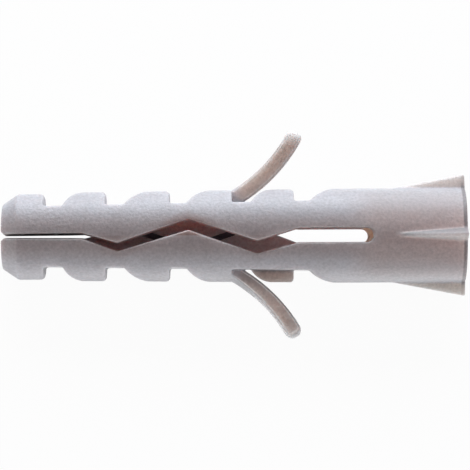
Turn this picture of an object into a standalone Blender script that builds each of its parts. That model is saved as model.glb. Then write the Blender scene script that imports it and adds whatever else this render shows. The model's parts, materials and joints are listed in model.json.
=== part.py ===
"""Nylon wall plug for a 10 mm hole, moulded in one piece, 50 mm long.

Metres, +Z up. The plug is modelled along its own axis: x runs from the nose to the head
face, y towards the upper tongue and z towards the side that is up when the plug lies.
Half a turn about x brings the plug onto itself. The last step lays it on the floor z = 0,
on its nose, one tongue and one head fin, with its middle over the origin.
"""

import math

import bmesh
import bpy
from mathutils import Matrix, Vector

MM = 0.001

# Outer radii: the nose, the shank where it starts behind the nose, and the head
NOSE_RADIUS = 4.62 * MM
SHANK_RADIUS = 4.75 * MM
HEAD_RADIUS = 5.09 * MM

# Half the height that the notches leave, at the nose and at the head
NOSE_NECK = 3.25 * MM
HEAD_NECK = 3.72 * MM

# Nose
NOSE_LENGTH = 4.5 * MM
NOSE_CHAMFER_LENGTH = 1.7 * MM
NOSE_CHAMFER_DEPTH = 1.15 * MM
NOSE_ROUNDING = 0.6 * MM
NOSE_FACE_ROUNDING = 0.15 * MM

# Teeth behind the nose: length of the notch floor, of the ramp and of the crest
TEETH = (
    (2.12 * MM, 2.3 * MM, 2.23 * MM),
    (2.05 * MM, 3.0 * MM, 1.85 * MM),
    (1.85 * MM, 2.8 * MM, 2.08 * MM),
    (2.05 * MM, 2.4 * MM, 2.2 * MM),
)
TOOTH_BACK_ROUNDING = 0.45 * MM

# Head: notch floor in front of it, its ramp and its barrel
HEAD_NOTCH = 1.75 * MM
HEAD_RAMP = 3.1 * MM
HEAD_BARREL = 13.65 * MM

# Fins on the head
FIN_COUNT = 4
FIN_LENGTH = 7.8 * MM
FIN_HEIGHT = 1.5 * MM
FIN_BASE_WIDTH = 1.5 * MM
FIN_CREST_WIDTH = 0.3 * MM

# Tongues that spring from the back of the third tooth behind the nose: side of the plug,
# thickness, length along the outer face, angle to the axis at the root and rounding of the tip
TONGUES = {
    "upper": (1, 1.78 * MM, 9.2 * MM, math.radians(30.5), 0.65 * MM),
    "lower": (-1, 1.82 * MM, 8.93 * MM, math.radians(30.3), 0.88 * MM),
}
TONGUE_WIDTH = 2.4 * MM
TONGUE_BEND_RADIUS = 16.2 * MM
TONGUE_RISE = 0.08 * MM
TONGUE_EDGE_ROUNDING = 0.35 * MM
TONGUE_GAP = 0.3 * MM

# Slit between the two legs: straight at the nose, a zigzag and a slot with a round end
SLIT_NOSE_GAP = 0.56 * MM
SLOT_WIDTH = 1.62 * MM
SLOT_LENGTH = 8.05 * MM
SLOT_TO_HEAD_FACE = {"front": 9.95 * MM, "back": 10.25 * MM}
SLIT_DRAFT = math.radians(2.2)
SLIT_MOUTH_ROUNDING = 0.3 * MM
SLIT_BEND_ROUNDING = 0.35 * MM

# Bends of the zigzag from the slot towards the nose: step, swing, front gap and back gap
ZIGZAG = (
    (4.45 * MM, -1.27 * MM, 1.46 * MM, 0.83 * MM),
    (7.37 * MM, 1.2 * MM, 1.27 * MM, 0.93 * MM),
    (7.59 * MM, -1.2 * MM, 0.97 * MM, 0.93 * MM),
    (3.74 * MM, 0.0, 0.66 * MM, 0.66 * MM),
)

# Thin webs that bridge the back slit where it crosses the front one
WEB_LENGTH = 3.6 * MM
WEB_THICKNESS = 0.3 * MM
WEB_RECESS = 0.3 * MM

# Screw bore, open at the head face and narrowing towards the nose
BORE_MOUTH_RADIUS = 3.4 * MM
BORE_MOUTH_CHAMFER = 0.4 * MM
BORE_NECK_RADIUS = 3.15 * MM
BORE_CONE_LENGTH = 3.0 * MM
CHANNEL_RADIUS = 2.3 * MM
CHANNEL_END_RADIUS = 1.45 * MM
CHANNEL_POINT_LENGTH = 2.4 * MM

# Fineness of the round stretches
BODY_SIDES = 72
BORE_SIDES = 48
ARC_STEPS = 6
RAMP_STEPS = 12
TONGUE_STATIONS = 14
TIP_STATIONS = 5

# How far a cutter runs past what it cuts, and how deep a union reaches in
CLEAR = 1.5 * MM
BITE = 0.6 * MM
SKIM = 0.02 * MM

# Places along the axis that follow from the lengths above
tooth_marks = []
mark = NOSE_LENGTH
for floor_length, ramp_length, crest_length in TEETH:
    foot = mark + floor_length
    crest = foot + ramp_length
    tooth_marks.append((mark, foot, crest))
    mark = crest + crest_length
FOURTH_TOOTH_BACK = tooth_marks[-1][0]
FIFTH_TOOTH_BACK = mark
HEAD_FOOT = FIFTH_TOOTH_BACK + HEAD_NOTCH
HEAD_CREST = HEAD_FOOT + HEAD_RAMP
HEAD_FACE = HEAD_CREST + HEAD_BARREL
SLOT_START = HEAD_FACE - SLOT_TO_HEAD_FACE["front"] - SLOT_LENGTH
ZIGZAG_START = SLOT_START - sum(bend[0] for bend in ZIGZAG)
OUTSIDE = HEAD_RADIUS + FIN_HEIGHT + CLEAR


def radius_at(x):
    """Outer radius of the shank, which widens evenly from the first notch to the head."""
    share = (x - NOSE_LENGTH) / (HEAD_CREST - NOSE_LENGTH)
    return SHANK_RADIUS + (HEAD_RADIUS - SHANK_RADIUS) * min(max(share, 0.0), 1.0)


def neck_at(x):
    """Half the height of the shank at a notch floor, which rises evenly towards the head."""
    share = (x - NOSE_LENGTH) / (HEAD_FOOT - NOSE_LENGTH)
    return NOSE_NECK + (HEAD_NECK - NOSE_NECK) * share


def arc(centre, radius, start, end, steps=ARC_STEPS):
    """Points on an arc, angles in radians from +x towards +y."""
    angles = (start + (end - start) * i / steps for i in range(steps + 1))
    return [(centre[0] + radius * math.cos(a), centre[1] + radius * math.sin(a)) for a in angles]


def rounded(corners, steps=3):
    """Outline of corners (x, y, radius) with an arc tangent to both sides at each one."""
    outline = []
    for i, (x, y, radius) in enumerate(corners):
        here = Vector((x, y))
        before = (Vector(corners[i - 1][:2]) - here).normalized()
        after = (Vector(corners[(i + 1) % len(corners)][:2]) - here).normalized()
        if radius == 0.0:
            outline.append((x, y))
            continue
        half_angle = before.angle(after) / 2
        centre = here + (before + after).normalized() * radius / math.sin(half_angle)
        first = here + before * radius / math.tan(half_angle) - centre
        turn = first.angle_signed(here + after * radius / math.tan(half_angle) - centre)
        for step in range(steps + 1):
            point = centre + Matrix.Rotation(-turn * step / steps, 2) @ first
            outline.append((point.x, point.y))
    return outline


def add_object(name, bm, parent, cutter=True):
    """Object from a bmesh with its faces turned outwards."""
    bmesh.ops.recalc_face_normals(bm, faces=bm.faces)
    mesh = bpy.data.meshes.new(name)
    bm.to_mesh(mesh)
    bm.free()
    obj = bpy.data.objects.new(name, mesh)
    bpy.context.scene.collection.objects.link(obj)
    obj.parent = parent
    if cutter:
        obj.hide_render = True
        obj.display_type = "WIRE"
    return obj


def loft(rings):
    """Closed solid through rings of as many points each, with a flat face on both ends."""
    bm = bmesh.new()
    loops = [[bm.verts.new(point) for point in ring] for ring in rings]
    count = len(loops[0])
    for low, high in zip(loops, loops[1:]):
        for i in range(count):
            j = (i + 1) % count
            bm.faces.new((low[i], low[j], high[j], high[i]))
    bm.faces.new(reversed(loops[0]))
    bm.faces.new(loops[-1])
    return bm


def turned(profile, sides):
    """Solid turned about the axis from points (x, radius), both ends closed flat."""
    rings = []
    for x, radius in profile:
        angles = (2 * math.pi * i / sides for i in range(sides))
        rings.append([(x, radius * math.cos(a), radius * math.sin(a)) for a in angles])
    return loft(rings)


def prism(outline, low, high):
    """Outline in x and y carried from z = low to z = high."""
    return loft([[(x, y, z) for x, y in outline] for z in (low, high)])


def turned_to(side, bm):
    """The shape as it is for side = 1, or turned half round the axis for side = -1."""
    if side < 0:
        half_turn = Matrix.Rotation(math.pi, 3, "X")
        bmesh.ops.rotate(bm, verts=bm.verts, cent=(0, 0, 0), matrix=half_turn)
    return bm


def body_profile():
    """Nose with a rounded cone, shank that widens and barrel, run past the head face."""
    face_radius = NOSE_RADIUS - NOSE_CHAMFER_DEPTH
    nose = rounded((
        (0.0, 0.0, 0.0),
        (0.0, face_radius, NOSE_FACE_ROUNDING),
        (NOSE_CHAMFER_LENGTH, NOSE_RADIUS, NOSE_ROUNDING),
        (NOSE_LENGTH, NOSE_RADIUS, 0.0),
    ))
    first_foot = tooth_marks[0][1]
    return nose[1:] + [
        (first_foot, radius_at(first_foot)),
        (HEAD_CREST, HEAD_RADIUS),
        (HEAD_FACE + CLEAR, HEAD_RADIUS),
    ]


def notch_outline(back, foot, crest, rounding):
    """Notch behind a tooth: its back wall, the floor and the arched ramp of what follows.

    back is the x of the wall, foot where the ramp starts and crest where it is level.
    """
    wall_top = (NOSE_RADIUS if back <= NOSE_LENGTH else radius_at(back)) + SKIM
    rise = radius_at(crest) + SKIM - neck_at(foot)
    lean = 2 * math.atan2(rise, crest - foot)
    ramp_radius = (crest - foot) / math.sin(lean)
    ramp_centre = (crest, radius_at(crest) + SKIM - ramp_radius)
    ramp = arc(ramp_centre, ramp_radius, math.pi / 2 + lean, math.pi / 2, RAMP_STEPS)
    wall = [(back, wall_top)]
    if rounding > 0.0:
        wall_centre = (back - rounding, wall_top - rounding)
        wall = arc(wall_centre, rounding, math.pi / 2, 0.0)
    return (
        [(crest, OUTSIDE), (wall[0][0], OUTSIDE)]
        + wall
        + [(back, neck_at(back))]
        + ramp
    )


def add_notch(name, marks, side, parent):
    """Cutter for a notch right across the upper side (side = 1) or the lower."""
    bm = prism(notch_outline(*marks, TOOTH_BACK_ROUNDING), -OUTSIDE, OUTSIDE)
    return add_object(name, turned_to(side, bm), parent)


def add_tongue_bay(name, side, parent):
    """Cutter for a tongue's room, as one stepped solid that leaves the last tooth standing.

    Below the step it is the whole bay. Above it are only the notches on both sides of
    the last tooth, which stands beside the tongue.
    """
    ahead = notch_outline(*tooth_marks[-1], 0.0)
    behind = notch_outline(FIFTH_TOOTH_BACK, HEAD_FOOT, HEAD_CREST, TOOTH_BACK_ROUNDING)
    bay = ahead[:-RAMP_STEPS] + behind[-RAMP_STEPS - 2:] + behind[:2]
    tooth = ahead[-RAMP_STEPS - 1:] + ahead[:1] + behind[1:-RAMP_STEPS - 1]
    bm = bmesh.new()
    corners = {}

    def corner(point, z):
        if (point, z) not in corners:
            corners[point, z] = bm.verts.new((*point, z))
        return corners[point, z]

    def wall(outline, low, high):
        for p, q in zip(outline, outline[1:] + outline[:1]):
            bm.faces.new((corner(p, low), corner(q, low), corner(q, high), corner(p, high)))

    def cap(outline, z):
        bm.faces.new([corner(point, z) for point in outline])

    step = TONGUE_GAP / 2
    wall(bay, -OUTSIDE, step)
    cap(bay, -OUTSIDE)
    cap(tooth, step)
    for outline in (ahead, behind):
        wall(outline, step, OUTSIDE)
        cap(outline, OUTSIDE)
    return add_object(name, turned_to(side, bm), parent)


def slit_outline(label, height):
    """Outline of the front or back slit at a height, narrower the deeper it is."""
    inset = (HEAD_RADIUS - height) * math.tan(SLIT_DRAFT)
    x = SLOT_START
    bends = [(x, 0.0, SLOT_WIDTH)]
    for step, swing, front_gap, back_gap in ZIGZAG:
        x -= step
        bends.append((x, swing, front_gap if label == "front" else back_gap))

    def edge(side):
        """One side of the slit, from its mouth in the nose to the slot."""
        half = SLIT_NOSE_GAP / 2 - inset
        lip = side * (half + SLIT_MOUTH_ROUNDING)
        corners = [(-CLEAR, lip, 0.0), (0.0, lip, 0.0), (SLIT_MOUTH_ROUNDING, side * half, 0.0)]
        for x, swing, gap in reversed(bends):
            corners.append((x, swing + side * (gap / 2 - inset), SLIT_BEND_ROUNDING))
        return corners

    end_radius = SLOT_WIDTH / 2 - inset
    end_centre = (HEAD_FACE - SLOT_TO_HEAD_FACE[label] - inset - end_radius, 0.0)
    end = arc(end_centre, end_radius, math.pi / 2, -math.pi / 2, 2 * ARC_STEPS)
    return rounded(edge(1) + [(x, y, 0.0) for x, y in end] + edge(-1)[::-1])


def add_slit(label, side, parent):
    """Cutter for the slit on the z > 0 side (side = 1) or, turned half round, the other."""
    heights = (-SKIM, OUTSIDE)
    bm = loft([[(x, y, z) for x, y in slit_outline(label, z)] for z in heights])
    return add_object(f"slit_{label}", turned_to(side, bm), parent)


def slit_crossings():
    """Places along the axis where the zigzag passes from one side of the middle to the other."""
    places = []
    x, last_swing = SLOT_START, 0.0
    for step, swing, front_gap, back_gap in ZIGZAG:
        if swing * last_swing < 0.0:
            places.append(x - step * last_swing / (last_swing - swing))
        x, last_swing = x - step, swing
    return places


def add_web(name, x, parent):
    """Thin web across the back slit, sunk a little below the outside of the shank.

    It reaches as far to each side as the zigzag swings, so that its ends lie in the legs.
    """
    low = WEB_RECESS - radius_at(x)
    reach = max(abs(bend[1]) for bend in ZIGZAG)
    rectangle = [(x - WEB_LENGTH / 2, -reach), (x + WEB_LENGTH / 2, -reach),
                 (x + WEB_LENGTH / 2, reach), (x - WEB_LENGTH / 2, reach)]
    return add_object(name, prism(rectangle, low, low + WEB_THICKNESS), parent)


def add_bore(name, parent):
    """Cutter for the screw bore: point, channel between the legs, cone, neck and mouth."""
    point = ZIGZAG_START - CHANNEL_POINT_LENGTH / 2
    cone = HEAD_FOOT + BITE - BORE_CONE_LENGTH
    profile = [
        (point, CHANNEL_END_RADIUS / 8),
        (point + CHANNEL_POINT_LENGTH, CHANNEL_END_RADIUS),
        (cone, CHANNEL_RADIUS),
        (cone + BORE_CONE_LENGTH, BORE_NECK_RADIUS),
        (HEAD_FACE - BORE_MOUTH_CHAMFER, BORE_MOUTH_RADIUS),
        (HEAD_FACE + CLEAR, BORE_MOUTH_RADIUS + BORE_MOUTH_CHAMFER + CLEAR),
    ]
    return add_object(name, turned(profile, BORE_SIDES), parent)


def add_fin(name, turn, parent):
    """Fin that rises evenly along the head, with the same flank slope all the way."""
    flank = (FIN_BASE_WIDTH - FIN_CREST_WIDTH) / 2 / FIN_HEIGHT
    rise = FIN_HEIGHT / FIN_LENGTH
    base = HEAD_RADIUS - BITE
    rings = []
    for x in (HEAD_FACE - FIN_LENGTH - CLEAR / 2, HEAD_FACE + CLEAR):
        crest = HEAD_RADIUS + (x - (HEAD_FACE - FIN_LENGTH)) * rise
        crest_half = FIN_CREST_WIDTH / 2
        base_half = crest_half + (crest - base) * flank
        rings.append([(x, -base_half, base), (x, base_half, base),
                      (x, crest_half, crest), (x, -crest_half, crest)])
    bm = loft(rings)
    bmesh.ops.rotate(bm, verts=bm.verts, cent=(0, 0, 0), matrix=Matrix.Rotation(turn, 3, "X"))
    return add_object(name, bm, parent)


def tongue_section(thickness, axis_distance, lean, inset):
    """Points (depth, z) of a tongue's section, depth counted outwards from its inner face.

    The outer face follows a circle about the plug's axis, so that the tongue lies in the
    drilled hole when it is pressed in.
    """
    near = -TONGUE_GAP / 2 - inset
    far = -TONGUE_GAP / 2 - TONGUE_WIDTH + inset

    def outer(z):
        sink = axis_distance - math.sqrt(axis_distance ** 2 - z ** 2)
        return thickness - inset - sink * math.cos(lean)

    middle = (near + far) / 2
    edge = TONGUE_EDGE_ROUNDING if inset < TONGUE_EDGE_ROUNDING else TONGUE_EDGE_ROUNDING / 2
    return rounded((
        (inset, near, edge),
        (outer(near), near, edge),
        (outer(middle), middle, 0.0),
        (outer(far), far, edge),
        (inset, far, edge),
    ))


def add_tongue(name, side, thickness, length, start_angle, tip_rounding, parent):
    """Curved tongue on the upper side (side = 1) or, turned half round, on the lower.

    Its root starts so far back that its whole end lies in the tooth, as the end leans.
    """
    root = (FOURTH_TOOTH_BACK, radius_at(FOURTH_TOOTH_BACK) + TONGUE_RISE)
    centre = (root[0] - TONGUE_BEND_RADIUS * math.sin(start_angle),
              root[1] + TONGUE_BEND_RADIUS * math.cos(start_angle))
    inner_radius = TONGUE_BEND_RADIUS + thickness
    tip = start_angle + length / TONGUE_BEND_RADIUS
    cap = tip_rounding / TONGUE_BEND_RADIUS
    root_depth = BITE + thickness * math.tan(start_angle)
    start = start_angle - root_depth / TONGUE_BEND_RADIUS
    pitch = (tip - cap - start) / TONGUE_STATIONS
    leans = [(start + pitch * i, 0.0) for i in range(TONGUE_STATIONS + 1)]
    for i in range(1, TIP_STATIONS + 1):
        swing = math.pi / 2 * i / (TIP_STATIONS + 1)
        inset = tip_rounding * (1 - math.cos(swing))
        leans.append((tip - cap + cap * math.sin(swing), inset))
    rings = []
    for lean, inset in leans:
        axis_distance = centre[1] - TONGUE_BEND_RADIUS * math.cos(lean)
        ring = []
        for depth, z in tongue_section(thickness, axis_distance, lean, inset):
            reach = inner_radius - depth
            ring.append((centre[0] + reach * math.sin(lean), centre[1] - reach * math.cos(lean), z))
        rings.append(ring)
    return add_object(name, turned_to(side, loft(rings)), parent)


def add_head_trim(name, parent):
    """Cutter that makes the head face flat."""
    square = [(HEAD_FACE, -OUTSIDE), (HEAD_FACE + 3 * CLEAR, -OUTSIDE),
              (HEAD_FACE + 3 * CLEAR, OUTSIDE), (HEAD_FACE, OUTSIDE)]
    return add_object(name, prism(square, -OUTSIDE, OUTSIDE), parent)


def combine(target, operand, operation):
    """Boolean modifier on the target."""
    modifier = target.modifiers.new(operand.name, "BOOLEAN")
    modifier.operation = operation
    modifier.solver = "EXACT"
    modifier.object = operand


def nylon():
    """Pale grey moulded nylon."""
    material = bpy.data.materials.new("nylon")
    material.use_nodes = True
    shader = material.node_tree.nodes["Principled BSDF"]
    shader.inputs["Base Color"].default_value = (0.42, 0.40, 0.41, 1.0)
    shader.inputs["Roughness"].default_value = 0.5
    shader.inputs["Metallic"].default_value = 0.0
    return material


def build_plug(parent):
    """The whole moulding, with its cutters and added shapes as Boolean operands."""
    plug = add_object("wall_plug", turned(body_profile(), BODY_SIDES), parent, cutter=False)
    for i in range(FIN_COUNT):
        fin = add_fin(f"fin_{i + 1}", 2 * math.pi * i / FIN_COUNT, parent)
        combine(plug, fin, "UNION")
    for label, (side, *tongue_sizes) in TONGUES.items():
        for i, marks in enumerate(tooth_marks[:-1]):
            combine(plug, add_notch(f"notch_{i + 1}_{label}", marks, side, parent), "DIFFERENCE")
        combine(plug, add_tongue_bay(f"tongue_bay_{label}", side, parent), "DIFFERENCE")
        combine(plug, add_tongue(f"tongue_{label}", side, *tongue_sizes, parent), "UNION")
    combine(plug, add_bore("bore", parent), "DIFFERENCE")
    for label, side in (("front", 1), ("back", -1)):
        combine(plug, add_slit(label, side, parent), "DIFFERENCE")
    for i, x in enumerate(slit_crossings()):
        combine(plug, add_web(f"web_{i + 1}", x, parent), "UNION")
    combine(plug, add_head_trim("head_trim", parent), "DIFFERENCE")
    plug.data.materials.append(nylon())
    plug.data.shade_smooth()
    plug.data.set_sharp_from_angle(angle=math.radians(30))
    return plug


def mass_centre(mesh):
    """Centre of the closed solid, from the tetrahedra that its triangles make with 0."""
    mesh.calc_loop_triangles()
    volume = 0.0
    moment = Vector()
    for triangle in mesh.loop_triangles:
        a, b, c = (mesh.vertices[i].co for i in triangle.vertices)
        part = a.dot(b.cross(c)) / 6
        volume += part
        moment += (a + b + c) / 4 * part
    return moment / volume


def lies_over(face, point):
    """Whether the point stands over the inside of a hull face."""
    corners = [vert.co for vert in face.verts]
    edges = zip(corners, corners[1:] + corners[:1])
    return all((b - a).cross(point - a).dot(face.normal) >= 0.0 for a, b in edges)


def resting_place(plug):
    """Turn and shift that lay the plug as it comes to rest, with its +z side up.

    It rests on a face of its convex hull that the mass centre stands over: of these, the
    one that faces most to -y and -z.
    """
    shape = plug.evaluated_get(bpy.context.evaluated_depsgraph_get())
    mesh = shape.to_mesh()
    points = [vert.co.copy() for vert in mesh.vertices]
    centre = mass_centre(mesh)
    shape.to_mesh_clear()
    bm = bmesh.new()
    for point in points:
        bm.verts.new(point)
    bmesh.ops.convex_hull(bm, input=bm.verts)
    bmesh.ops.recalc_face_normals(bm, faces=bm.faces)
    stable = [face for face in bm.faces if lies_over(face, centre)]
    up = -min(stable, key=lambda face: face.normal.y + face.normal.z).normal
    bm.free()
    along = (Vector((1, 0, 0)) - up * up.x).normalized()
    turn = Matrix((along, up.cross(along), up))
    placed = [turn @ point for point in points]
    low = Vector([min(p[i] for p in placed) for i in range(3)])
    high = Vector([max(p[i] for p in placed) for i in range(3)])
    shift = Vector((-(low.x + high.x) / 2, -(low.y + high.y) / 2, -low.z))
    return Matrix.Translation(shift) @ turn.to_4x4()


for old in list(bpy.data.objects):
    bpy.data.objects.remove(old, do_unlink=True)

carrier = bpy.data.objects.new("carrier", None)
bpy.context.scene.collection.objects.link(carrier)
wall_plug = build_plug(carrier)
carrier.matrix_world = resting_place(wall_plug)
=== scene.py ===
import json
import math

import bpy
from mathutils import Matrix, Vector


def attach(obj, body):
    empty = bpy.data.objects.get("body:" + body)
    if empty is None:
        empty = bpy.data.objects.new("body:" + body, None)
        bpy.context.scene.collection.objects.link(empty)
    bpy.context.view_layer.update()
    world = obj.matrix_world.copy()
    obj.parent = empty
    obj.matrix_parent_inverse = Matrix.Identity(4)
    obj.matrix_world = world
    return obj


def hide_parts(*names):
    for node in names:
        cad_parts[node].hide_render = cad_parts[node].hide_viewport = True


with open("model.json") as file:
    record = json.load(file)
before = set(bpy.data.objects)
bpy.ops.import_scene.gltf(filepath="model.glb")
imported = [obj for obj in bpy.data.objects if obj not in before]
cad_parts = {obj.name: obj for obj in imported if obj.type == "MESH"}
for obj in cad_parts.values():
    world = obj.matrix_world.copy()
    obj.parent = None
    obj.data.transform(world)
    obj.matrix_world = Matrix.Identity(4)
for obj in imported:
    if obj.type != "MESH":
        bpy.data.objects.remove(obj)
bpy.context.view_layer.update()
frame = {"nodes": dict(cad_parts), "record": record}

scene = bpy.context.scene

# How the plug lies.
# The moulding lies on its nose, its lower tongue and one fin, rolled about its own axis. Its shape is
# made below along that axis: x from the nose, y to the upper tongue, z to the side that is up.
MM = 0.001
PLUG_LENGTH = 49.93 * MM
ROLL = math.radians(30.886)
MARK_RADIUS = 4.4 * MM
MARK_ANGLE = math.radians(45.0)

# The record's mark is a point on the ring of the head's end, off the axis
head_mark = frame["record"]["mounts"][0]
plug_x = Vector(head_mark["axis"]).normalized()
level_y = Vector((0, 0, 1)).cross(plug_x).normalized()
level_z = plug_x.cross(level_y)
plug_y = level_y * math.cos(ROLL) + level_z * math.sin(ROLL)
plug_z = plug_x.cross(plug_y)
to_mark = plug_y * math.cos(MARK_ANGLE) + plug_z * math.sin(MARK_ANGLE)
nose_tip = Vector(head_mark["pos_m"]) - to_mark * MARK_RADIUS - plug_x * PLUG_LENGTH
plug_turn = Matrix((plug_x, plug_y, plug_z)).transposed().to_4x4()
plug_place = Matrix.Translation(nose_tip) @ plug_turn


# The moulding: nose, teeth, tongues, slit legs and finned head in one shot of nylon.
# Made in a steel mould with two halves and a core pin for the bore. Every edge carries the small
# rounding that the mould's own edges leave, which is what catches the light along the slit.
WELD_DISTANCE = 0.001
VOXEL = 0.1
SETTLE_ROUNDS = 5
SETTLE_FACTOR = 0.5
MOST_TRIANGLES = 190000

solid = frame["nodes"]["wall_plug"]
mesh = solid.data.copy()
mesh.transform(Matrix.Scale(1 / MM, 4) @ plug_place.inverted())
moulding = bpy.data.objects.new("plug_moulding", mesh)
scene.collection.objects.link(moulding)


def with_modifier(piece, kind, **settings):
    """Puts one modifier on a piece and makes its result the piece's own mesh."""
    modifier = piece.modifiers.new(kind.lower(), kind)
    for name, value in settings.items():
        setattr(modifier, name, value)
    shape = piece.evaluated_get(bpy.context.evaluated_depsgraph_get())
    made = bpy.data.meshes.new_from_object(shape)
    piece.modifiers.clear()
    piece.data = made


with_modifier(moulding, "WELD", merge_threshold=WELD_DISTANCE)
with_modifier(moulding, "REMESH", mode="VOXEL", voxel_size=VOXEL, adaptivity=0.0)
with_modifier(moulding, "SMOOTH", factor=SETTLE_FACTOR, iterations=SETTLE_ROUNDS)
triangles = 2 * len(moulding.data.polygons)
with_modifier(moulding, "DECIMATE", ratio=min(1.0, MOST_TRIANGLES / triangles))
moulding.data.shade_smooth()
moulding.data.transform(plug_place @ Matrix.Scale(MM, 4))
moulding.data.update()


def from_hex(code):
    """Linear colour with full alpha from an sRGB hex value."""
    shares = [int(code[i:i + 2], 16) / 255 for i in (1, 3, 5)]
    return (*[s / 12.92 if s <= 0.04045 else ((s + 0.055) / 1.055) ** 2.4 for s in shares], 1.0)


def add_node(material, kind, settings, *inputs, **named):
    """Adds a node, fills its inputs in order or by name and gives its first output."""
    tree = material.node_tree
    node = tree.nodes.new("ShaderNode" + kind)
    for name, value in settings.items():
        setattr(node, name, value)
    sockets = [socket for socket in node.inputs if socket.enabled]
    filled = [*zip(sockets, inputs), *((node.inputs[name], value) for name, value in named.items())]
    for socket, value in filled:
        if isinstance(value, bpy.types.NodeSocket):
            tree.links.new(value, socket)
        else:
            socket.default_value = value
    return next((socket for socket in node.outputs if socket.enabled), None)


# Nylon 6, moulded without a dye: milky, pale grey, slightly translucent, with the fine satin skin
# of a spark-eroded mould. Light that goes far through it comes out warm. Here that warm light and
# the shade are painted into the colour: brown or beige in the slit, the thin parts and the wall over
# the bore, and the rest of the outside cool.
nylon = bpy.data.materials.new("moulded_natural_nylon")
nylon.use_nodes = True
nylon.node_tree.nodes.clear()
TIMES = {"operation": "MULTIPLY"}
PLUS = {"operation": "ADD"}
LESS = {"operation": "SUBTRACT"}
OVER = {"operation": "GREATER_THAN"}
UNSIGNED = {"operation": "ABSOLUTE"}
EASED = {"interpolation_type": "SMOOTHSTEP"}
MIXED = {"data_type": "RGBA"}
RISING = (0.0, 1.0)
FALLING = (1.0, 0.0)

# Every spot's place on the plug's own axes in mm: along from the nose, up to the upper tongue and out
# to the front. side is its distance from the middle plane, and reach that from the axis.
to_plug = plug_place.inverted()
place = add_node(nylon, "TexCoord", {}).node.outputs["Object"]
own = add_node(nylon, "Mapping", {}, place, Location=to_plug.translation / MM,
               Rotation=to_plug.to_euler(), Scale=(1 / MM, 1 / MM, 1 / MM))
along, up, out = add_node(nylon, "SeparateXYZ", {}, own).node.outputs
side = add_node(nylon, "Math", UNSIGNED, up)
up_squared = add_node(nylon, "Math", TIMES, up, up)
out_squared = add_node(nylon, "Math", TIMES, out, out)
reach_squared = add_node(nylon, "Math", PLUS, up_squared, out_squared)
reach = add_node(nylon, "Math", {"operation": "SQRT"}, reach_squared)
above = add_node(nylon, "Math", OVER, up, 0.0)
at_front = add_node(nylon, "Math", OVER, out, 0.0)

# How far a spot lies inside the slit or the bore, from 0 on the outside to 1 about a millimetre down.
# The outside's radius grows over the nose's cone, over the first notch and along the shank.
CONE_LENGTH = 1.7
CONE_RADII = (3.47, 4.62)
FIRST_NOTCH = (4.5, 6.62)
FIRST_NOTCH_GAIN = 0.153
SHANK = (6.62, 36.28)
SHANK_GAIN = 0.317
WALL_DEPTH = (0.1, 0.9)
SLIT_SIDE = (2.7, 3.1)
NOSE_FACE = (0.1, 0.5)
BORE_START = 33.3
BORE_WALL = (3.45, 3.85)
cone_radius = add_node(nylon, "MapRange", {}, along, 0.0, CONE_LENGTH, *CONE_RADII)
notch_gain = add_node(nylon, "MapRange", {}, along, *FIRST_NOTCH, 0.0, FIRST_NOTCH_GAIN)
shank_gain = add_node(nylon, "MapRange", {}, along, *SHANK, 0.0, SHANK_GAIN)
gain = add_node(nylon, "Math", PLUS, notch_gain, shank_gain)
shell_radius = add_node(nylon, "Math", PLUS, cone_radius, gain)
under_shell = add_node(nylon, "Math", LESS, shell_radius, reach)
wall_depth = add_node(nylon, "MapRange", EASED, under_shell, *WALL_DEPTH, *RISING)
between_legs = add_node(nylon, "MapRange", EASED, side, *SLIT_SIDE, *FALLING)
past_face = add_node(nylon, "MapRange", EASED, along, *NOSE_FACE, *RISING)
along_slit = add_node(nylon, "Math", TIMES, between_legs, past_face)
in_slit = add_node(nylon, "Math", TIMES, wall_depth, along_slit)
in_bore = add_node(nylon, "MapRange", EASED, reach, *BORE_WALL, *FALLING)
at_bore = add_node(nylon, "Math", OVER, along, BORE_START)
inside = add_node(nylon, "Mix", {}, at_bore, in_slit, in_bore)

# The slit's rounded edge, with a thin painted highlight just under the outside
LIP_LINE_START = (0.03, 0.07)
LIP_LINE_END = (0.15, 0.3)
LIP_LINE_SHARE = 0.6
lip_line = add_node(nylon, "MapRange", EASED, under_shell, *LIP_LINE_START, 0.0, LIP_LINE_SHARE)
lip_line_end = add_node(nylon, "MapRange", EASED, under_shell, *LIP_LINE_END, *FALLING)
for factor in (lip_line_end, along_slit):
    lip_line = add_node(nylon, "Math", TIMES, lip_line, factor)

# The walls inside, painted with the warm glow of light that has come through the nylon: pale and
# warm in the slit and the bore, a darker grey of painted shade in the narrow gap at the nose, and
# warmest at the round end of the slot, where light comes through the barrel
WALL_GLOW_TONE = "#FBE8E7"
NOSE_GAP_END = (7.5, 9.5)
NOSE_GAP_SHADE_TONE = "#A39C9C"
SLOT_END_START = (38.8, 39.3)
SLOT_END_STOP = (40.5, 41.0)
SLOT_END_GLOW_TONE = "#FFE2D2"
in_nose = add_node(nylon, "MapRange", EASED, along, *NOSE_GAP_END, *FALLING)
slot_end_start = add_node(nylon, "MapRange", EASED, along, *SLOT_END_START, *RISING)
slot_end_stop = add_node(nylon, "MapRange", EASED, along, *SLOT_END_STOP, *FALLING)
slot_end = add_node(nylon, "Math", TIMES, slot_end_start, slot_end_stop)
wall_glow_and_shade = add_node(nylon, "Mix", MIXED, in_nose, from_hex(WALL_GLOW_TONE), from_hex(NOSE_GAP_SHADE_TONE))
wall_glow_and_shade = add_node(nylon, "Mix", MIXED, slot_end, wall_glow_and_shade, from_hex(SLOT_END_GLOW_TONE))

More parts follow.
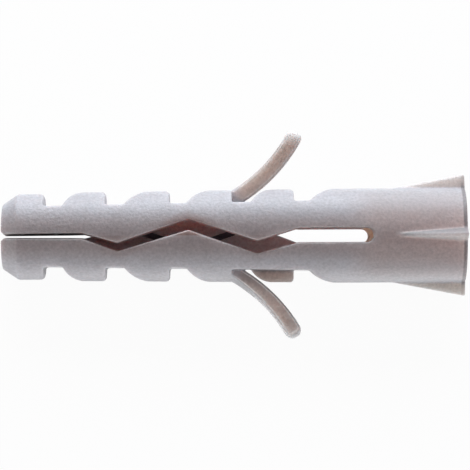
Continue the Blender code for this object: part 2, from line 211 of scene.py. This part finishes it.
# Where the tongues and the tooth behind the lower one are painted with the glow of light that goes
# right through the thin tongues; the upper front quarter is left out
TONGUE_ROOT = (24.3, 26.3)
HEAD_FOOT = (32.6, 33.4)
OFF_MIDDLE = (3.5, 4.2)
past_root = add_node(nylon, "MapRange", EASED, along, *TONGUE_ROOT, *RISING)
before_head = add_node(nylon, "MapRange", EASED, along, *HEAD_FOOT, *FALLING)
off_middle = add_node(nylon, "MapRange", EASED, side, *OFF_MIDDLE, *RISING)
upper_front = add_node(nylon, "Math", TIMES, above, at_front)
glow_through_tongues = add_node(nylon, "Math", LESS, 1.0, upper_front)
for factor in (past_root, before_head, off_middle):
    glow_through_tongues = add_node(nylon, "Math", TIMES, glow_through_tongues, factor)

# The rounded edge round each tongue's front face, a grey band of painted shade with a fine painted
# highlight on its inner side. Of two values the first is the lower tongue's, whose face lies further
# out and whose edge shows more.
TONGUE_FACES = (2.55, -0.15)
TONGUE_WIDTH = (2.2, 2.4)
EDGE_SHARES = (1.0, 0.35)
EDGE_START = (0.06, 0.14)
EDGE_LINE_START = (0.01, 0.03)
EDGE_LINE_END = (0.05, 0.08)
face_place = add_node(nylon, "MapRange", {}, above, 0.0, 1.0, *TONGUE_FACES)
under_face = add_node(nylon, "Math", LESS, face_place, out)
edge_share = add_node(nylon, "MapRange", {}, above, 0.0, 1.0, *EDGE_SHARES)
on_tongue = add_node(nylon, "MapRange", EASED, under_face, *TONGUE_WIDTH, *FALLING)
on_tongue = add_node(nylon, "Math", TIMES, on_tongue, edge_share)
tongue_edge_shade = add_node(nylon, "MapRange", EASED, under_face, *EDGE_START, *RISING)
tongue_edge_shade = add_node(nylon, "Math", TIMES, tongue_edge_shade, on_tongue)
tongue_edge_highlight = add_node(nylon, "MapRange", EASED, under_face, *EDGE_LINE_START, *RISING)
edge_line_end = add_node(nylon, "MapRange", EASED, under_face, *EDGE_LINE_END, *FALLING)
for factor in (edge_line_end, on_tongue):
    tongue_edge_highlight = add_node(nylon, "Math", TIMES, tongue_edge_highlight, factor)

# The tongues' painted light: a beige glow of light through them, paler on the tooth behind the lower
# one, painted shade at the lower one's root, and a paler painted glow at both tips
LOWER_TONGUE_GLOW_TONE = "#CBC3BE"
UPPER_TONGUE_GLOW_TONE = "#C7BCB4"
BEHIND_TONGUE_GLOW_TONE = "#DECCC3"
ROOT_SIDE = (4.3, 6.2)
ROOT_SHARE = 0.85
ROOT_SHADE_TONE = "#A39C9A"
EDGE_SHADE_TONE = "#9E9EA0"
EDGE_HIGHLIGHT_TONE = "#E6E3E0"
TIP_SIDE = (9.2, 11.0)
TIP_SHARES = (0.35, 0.6)
TIP_GLOW_TONE = "#F0EDEA"
at_root = add_node(nylon, "MapRange", EASED, side, *ROOT_SIDE, ROOT_SHARE, 0.0)
lower_tongue_light_and_shade = add_node(nylon, "Mix", MIXED, at_root, from_hex(LOWER_TONGUE_GLOW_TONE), from_hex(ROOT_SHADE_TONE))
lower_tongue_light_and_shade = add_node(nylon, "Mix", MIXED, on_tongue, from_hex(BEHIND_TONGUE_GLOW_TONE), lower_tongue_light_and_shade)
tongue_light_and_shade = add_node(nylon, "Mix", MIXED, above, lower_tongue_light_and_shade, from_hex(UPPER_TONGUE_GLOW_TONE))
at_tip = add_node(nylon, "MapRange", EASED, side, *TIP_SIDE, *RISING)
tip_share = add_node(nylon, "MapRange", {}, above, 0.0, 1.0, *TIP_SHARES)
at_tip = add_node(nylon, "Math", TIMES, at_tip, tip_share)
for share, tone in ((tongue_edge_shade, EDGE_SHADE_TONE), (tongue_edge_highlight, EDGE_HIGHLIGHT_TONE), (at_tip, TIP_GLOW_TONE)):
    tongue_light_and_shade = add_node(nylon, "Mix", MIXED, share, tongue_light_and_shade, from_hex(tone))

# The two webs in the back slit, deep in its shade and painted a darker grey as painted shade
WEB_PLACES = (16.32, 23.69)
WEB_HALF_LENGTH = (1.8, 2.0)
WEB_OUT = (-3.7, -3.9)
WEB_SIDE = (0.9, 1.4)
WEB_SHADE_TONE = "#8C8690"
web = 0.0
for web_place in WEB_PLACES:
    off_web = add_node(nylon, "Math", LESS, along, web_place)
    off_web = add_node(nylon, "Math", UNSIGNED, off_web)
    here = add_node(nylon, "MapRange", EASED, off_web, *WEB_HALF_LENGTH, *FALLING)
    web = add_node(nylon, "Math", PLUS, here, web)
web_deep = add_node(nylon, "MapRange", EASED, out, *WEB_OUT, *RISING)
web_middle = add_node(nylon, "MapRange", EASED, side, *WEB_SIDE, *FALLING)
for factor in (web_deep, web_middle):
    web = add_node(nylon, "Math", TIMES, web, factor)

# The corners of the legs inside each bend of the zigzag, where the wall over the bore is thinnest:
# painted shade, brown close to the slit and stronger on the upper legs. The slit's edge falls away
# evenly on both sides of a bend, and the bends alternate above and below.
BEND = 20.11
BEND_SPACING = 7.48
BEND_HEIGHT = 1.83
BEND_SLOPE = 0.335
BEND_REACH = (1.0, 4.5)
CORNER_FADE = 1.2
ZIGZAG_START = (9.0, 10.5)
ZIGZAG_END = (29.5, 31.0)
CORNER_SHARES = (0.2, 0.6)
CORNER_SHADE_TONE = "#94786F"
from_bend = add_node(nylon, "Math", LESS, along, BEND)
off_upper = add_node(nylon, "Math", {"operation": "PINGPONG"}, from_bend, BEND_SPACING)
off_lower = add_node(nylon, "Math", LESS, BEND_SPACING, off_upper)
off_bend = add_node(nylon, "Mix", {}, above, off_lower, off_upper)
slit_edge = add_node(nylon, "MapRange", {"clamp": False}, off_bend, 0.0, 1.0,
                     BEND_HEIGHT, BEND_HEIGHT - BEND_SLOPE)
off_edge = add_node(nylon, "Math", LESS, side, slit_edge)
corner = add_node(nylon, "MapRange", EASED, off_edge, 0.0, CORNER_FADE, *FALLING)
near_bend = add_node(nylon, "MapRange", EASED, off_bend, *BEND_REACH, *FALLING)
past_start = add_node(nylon, "MapRange", EASED, along, *ZIGZAG_START, *RISING)
before_end = add_node(nylon, "MapRange", EASED, along, *ZIGZAG_END, *FALLING)
corner_share = add_node(nylon, "MapRange", {}, above, 0.0, 1.0, *CORNER_SHARES)
for factor in (near_bend, past_start, before_end, corner_share):
    corner = add_node(nylon, "Math", TIMES, corner, factor)

# The barrel: its wall is thin over the bore, and light and shade are painted along it: a warm, light
# painted glow along the middle, a darker band of painted shade further round, and a little lighter
# again towards the top and bottom
BARREL_TONES = ((0.0, "#CFC4C2"), (1.3, "#CFC4C2"), (2.4, "#BEB4B3"), (3.5, "#ADA7A9"),
                (4.3, "#B3B0B2"), (4.9, "#BABABE"))
BARREL_TONES_REACH = 6.0
BARREL_START = (36.5, 40.5)
barrel_side = add_node(nylon, "MapRange", {}, side, 0.0, BARREL_TONES_REACH, 0.0, 1.0)
barrel_light_and_shade = add_node(nylon, "ValToRGB", {}, barrel_side)
stops = barrel_light_and_shade.node.color_ramp.elements
for stop, (distance, tone) in zip(stops, (BARREL_TONES[0], BARREL_TONES[-1])):
    stop.position = distance / BARREL_TONES_REACH
    stop.color = from_hex(tone)
for distance, tone in BARREL_TONES[1:-1]:
    stops.new(distance / BARREL_TONES_REACH).color = from_hex(tone)
on_barrel = add_node(nylon, "MapRange", EASED, along, *BARREL_START, *RISING)

# The fins: grey at the front one, with painted shade on its upper flank, and a paler painted glow at
# the two edges, where they stand thin against the light, palest on the lower one
FIN_FLANKS = (-0.3, 0.4)
FRONT_FIN_GREY_AND_SHADE_TONES = ("#B6B3B2", "#959294")
EDGE_FIN_GLOW_TONES = ("#CAC6C0", "#BAB7B4")
EDGE_FIN_SIDE = (2.0, 4.0)
FIN_FOOT = (5.12, 5.35)
FIN_START = (41.0, 42.5)
on_flank = add_node(nylon, "MapRange", EASED, up, *FIN_FLANKS, *RISING)
front_fin = add_node(nylon, "Mix", MIXED, on_flank, *map(from_hex, FRONT_FIN_GREY_AND_SHADE_TONES))
edge_fin = add_node(nylon, "Mix", MIXED, above, *map(from_hex, EDGE_FIN_GLOW_TONES))
at_edge = add_node(nylon, "MapRange", EASED, side, *EDGE_FIN_SIDE, *RISING)
fin_light_and_shade = add_node(nylon, "Mix", MIXED, at_edge, front_fin, edge_fin)
on_fin = add_node(nylon, "MapRange", EASED, reach, *FIN_FOOT, *RISING)
past_fin_start = add_node(nylon, "MapRange", EASED, along, *FIN_START, *RISING)
on_fin = add_node(nylon, "Math", TIMES, on_fin, past_fin_start)

# The band of painted shade round the end of the head, weaker on the ends of the fins
HEAD_END = (49.4, 49.62)
RIM_REACH = (4.7, 4.9)
RIM_FIN_REACH = (5.2, 5.6)
RIM_SHARE = 0.85
RIM_SHARE_ON_FINS = 0.34
RIM_SHADE_TONE = "#757274"
rim = add_node(nylon, "MapRange", EASED, along, *HEAD_END, *RISING)
rim_start = add_node(nylon, "MapRange", EASED, reach, *RIM_REACH, *RISING)
rim_share = add_node(nylon, "MapRange", EASED, reach, *RIM_FIN_REACH, RIM_SHARE, RIM_SHARE_ON_FINS)
for factor in (rim_start, rim_share):
    rim = add_node(nylon, "Math", TIMES, rim, factor)

# The body's own tone, in soft clouds a few millimetres wide, with a little painted warm light beside
# the slit, and over it, in turn, the painted light and shade of each place
CLOUD_SIZE = 3.0
CLOUD_TONES = ("#B1B0B4", "#C4C4C9")
BESIDE_SLIT = (1.0, 3.2)
BESIDE_SLIT_SHARE = 0.6
BESIDE_SLIT_WARM_LIGHT_TONE = "#C6BAB7"
# The painted highlight on the slit's rounded edge
LIP_HIGHLIGHT_TONE = "#EDE2DE"
clouds = add_node(nylon, "TexNoise", {}, own, Scale=1 / CLOUD_SIZE, Detail=4.0, Roughness=0.55)
colour = add_node(nylon, "Mix", MIXED, clouds, *map(from_hex, CLOUD_TONES))
beside_slit = add_node(nylon, "MapRange", EASED, side, *BESIDE_SLIT, BESIDE_SLIT_SHARE, 0.0)
for share, tone in (
    (beside_slit, from_hex(BESIDE_SLIT_WARM_LIGHT_TONE)),
    (on_barrel, barrel_light_and_shade),
    (on_fin, fin_light_and_shade),
    (rim, from_hex(RIM_SHADE_TONE)),
    (glow_through_tongues, tongue_light_and_shade),
    (corner, from_hex(CORNER_SHADE_TONE)),
    (lip_line, from_hex(LIP_HIGHLIGHT_TONE)),
    (inside, wall_glow_and_shade),
    (web, from_hex(WEB_SHADE_TONE)),
):
    colour = add_node(nylon, "Mix", MIXED, share, colour, tone)

# The skin's grain, which breaks up the sheen and mottles the tone. The grain of such a mould is mostly
# finer than a tenth of a millimetre, too fine to show, so it is drawn at three tenths.
GRAIN_SIZE = 0.3
GRAIN_HEIGHT = 0.07 * MM
GRAIN_STRENGTH = 0.9
GRAIN_RANGE = (0.3, 0.7)
GRAIN_TONES = (0.86, 1.14)
skin = add_node(nylon, "TexNoise", {}, own, Scale=1 / GRAIN_SIZE, Detail=3.0, Roughness=0.6)
speckle = add_node(nylon, "MapRange", {}, skin, *GRAIN_RANGE, *GRAIN_TONES)
colour = add_node(nylon, "Mix", {**MIXED, "blend_type": "MULTIPLY"}, 1.0, colour, speckle)
grain = add_node(nylon, "Bump", {}, Strength=GRAIN_STRENGTH, Distance=GRAIN_HEIGHT, Height=skin)

# How far light spreads under the skin, red light furthest: further in the head and the thin parts,
# least on the walls inside, and not at all on the webs
SHANK_SCATTER = 1.8 * MM
HEAD_SCATTER = 3.4 * MM
HEAD_SCATTER_START = (33.0, 40.0)
THIN_SCATTER = 4.5 * MM
WALL_SCATTER = 1.42 * MM
SLOT_END_SCATTER = 3.2 * MM
SCATTER_WEIGHT = 0.9
SCATTER_BY_COLOUR = (1.0, 0.82, 0.77)
SKIN_ROUGHNESS = 0.45
NYLON_IOR = 1.53
scatter = add_node(nylon, "MapRange", EASED, along, *HEAD_SCATTER_START, SHANK_SCATTER, HEAD_SCATTER)
scatter = add_node(nylon, "Mix", {}, glow_through_tongues, scatter, THIN_SCATTER)
wall_scatter = add_node(nylon, "MapRange", {}, slot_end, 0.0, 1.0, WALL_SCATTER, SLOT_END_SCATTER)
scatter = add_node(nylon, "Mix", {}, inside, scatter, wall_scatter)
weight = add_node(nylon, "MapRange", {}, web, 0.0, 1.0, SCATTER_WEIGHT, 0.0)
body = add_node(nylon, "BsdfPrincipled", {}, Roughness=SKIN_ROUGHNESS, IOR=NYLON_IOR, Normal=grain, **{
    "Base Color": colour,
    "Subsurface Weight": weight,
    "Subsurface Scale": scatter,
    "Subsurface Radius": SCATTER_BY_COLOUR,
})
add_node(nylon, "OutputMaterial", {}, body)

moulding.data.materials.clear()
moulding.data.materials.append(nylon)
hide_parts("wall_plug")
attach(moulding, "root")


# Pale card under the plug.
# Plain matt white card, far larger than the view. The camera sees it mostly as plain white, and
# it keeps the plug's soft shadow.
CARD_SIZE = 3.0
CARD_TONE = "#E6E6E6"
PLAIN_TONE = "#FFFFFF"
PLAIN_SHARE = 0.96
LARGER = {"operation": "MAXIMUM"}
bpy.ops.mesh.primitive_plane_add(size=CARD_SIZE, location=(0, 0, 0))
card = bpy.context.object
card.name = "white_card"
white_card = bpy.data.materials.new("matt_white_card")
white_card.use_nodes = True
white_card.node_tree.nodes.clear()
matt = add_node(white_card, "BsdfDiffuse", {}, from_hex(CARD_TONE))
plain = add_node(white_card, "Emission", {}, from_hex(PLAIN_TONE), Strength=1.0)
ray = add_node(white_card, "LightPath", {}).node.outputs
seen = add_node(white_card, "Math", LARGER, ray["Is Camera Ray"], ray["Is Glossy Ray"])
seen = add_node(white_card, "Math", LARGER, seen, ray["Is Transmission Ray"])
plain_share = add_node(white_card, "Math", TIMES, seen, PLAIN_SHARE)
mixed = add_node(white_card, "MixShader", {}, plain_share, matt, plain)
add_node(white_card, "OutputMaterial", {}, mixed)
card.data.materials.append(white_card)


# Light.
# One large, slightly cool softbox stands behind the plug on the side of its upper tongue, and a pale
# room fills in from all round. A weak panel, flat on the card beside the lower tongue, gives the lower
# edges the light that white card throws back.
SOFTBOX_DISTANCE = 0.35
SOFTBOX_ELEVATION = math.radians(32.0)
SOFTBOX_WIDTH = 0.45
SOFTBOX_DEPTH = 0.2
SOFTBOX_POWER = 1.9
SOFTBOX_COLOUR = (0.91, 0.95, 1.0)
ROOM_COLOUR = (1.0, 0.93, 0.97, 1.0)
ROOM_STRENGTH = 0.24
softbox_lamp = bpy.data.lights.new("softbox", "AREA")
softbox_lamp.shape = "RECTANGLE"
softbox_lamp.size = SOFTBOX_WIDTH
softbox_lamp.size_y = SOFTBOX_DEPTH
softbox_lamp.energy = SOFTBOX_POWER
softbox_lamp.color = SOFTBOX_COLOUR
softbox = bpy.data.objects.new("softbox", softbox_lamp)
scene.collection.objects.link(softbox)
towards = Vector((0.0, math.cos(SOFTBOX_ELEVATION), math.sin(SOFTBOX_ELEVATION)))
softbox.location = towards * SOFTBOX_DISTANCE
softbox.rotation_euler = towards.to_track_quat("Z", "Y").to_euler()

room = bpy.data.worlds.new("white_room")
scene.world = room
room.use_nodes = True
room_light = room.node_tree.nodes["Background"].inputs
room_light["Color"].default_value = ROOM_COLOUR
room_light["Strength"].default_value = ROOM_STRENGTH

PANEL_WIDTH = 0.16
PANEL_DEPTH = 0.05
PANEL_START = -0.006
PANEL_HEIGHT = 0.001
PANEL_POWER = 0.027
panel_lamp = bpy.data.lights.new("low_panel", "AREA")
panel_lamp.shape = "RECTANGLE"
panel_lamp.size = PANEL_WIDTH
panel_lamp.size_y = PANEL_DEPTH
panel_lamp.energy = PANEL_POWER
panel = bpy.data.objects.new("low_panel", panel_lamp)
scene.collection.objects.link(panel)
panel.location = (0.0, PANEL_START - PANEL_DEPTH / 2, PANEL_HEIGHT)
panel.rotation_euler = (math.pi, 0.0, 0.0)
panel.visible_camera = False


# Camera.
# A long lens looks down square onto the plug's front, which the roll of the plug turns up.
VIEW_DISTANCE = 320 * MM
VIEW_WIDTH = 50.85 * MM
VIEW_CENTRE = (25.1 * MM, 0.12 * MM)
VIEW_ROLL = math.radians(1.2)
VIEW_TILT = math.radians(-0.25)
SENSOR = 36.0
NEAR_END = 0.01

camera_up = plug_y * math.cos(VIEW_ROLL) + plug_z * math.sin(VIEW_ROLL)
camera_back = plug_x.cross(camera_up)
turn = Matrix.Rotation(VIEW_TILT, 3, camera_back)
camera_right = turn @ plug_x
camera_up = turn @ camera_up
aim = nose_tip + plug_x * VIEW_CENTRE[0] + plug_y * VIEW_CENTRE[1]
lens = bpy.data.cameras.new("camera")
lens.sensor_width = SENSOR
lens.lens = SENSOR * VIEW_DISTANCE / VIEW_WIDTH
lens.clip_start = NEAR_END
camera = bpy.data.objects.new("camera", lens)
scene.collection.objects.link(camera)
camera_turn = Matrix((camera_right, camera_up, camera_back)).transposed().to_4x4()
camera.matrix_world = Matrix.Translation(aim + camera_back * VIEW_DISTANCE) @ camera_turn
scene.camera = camera
scene.view_settings.view_transform = "Standard"
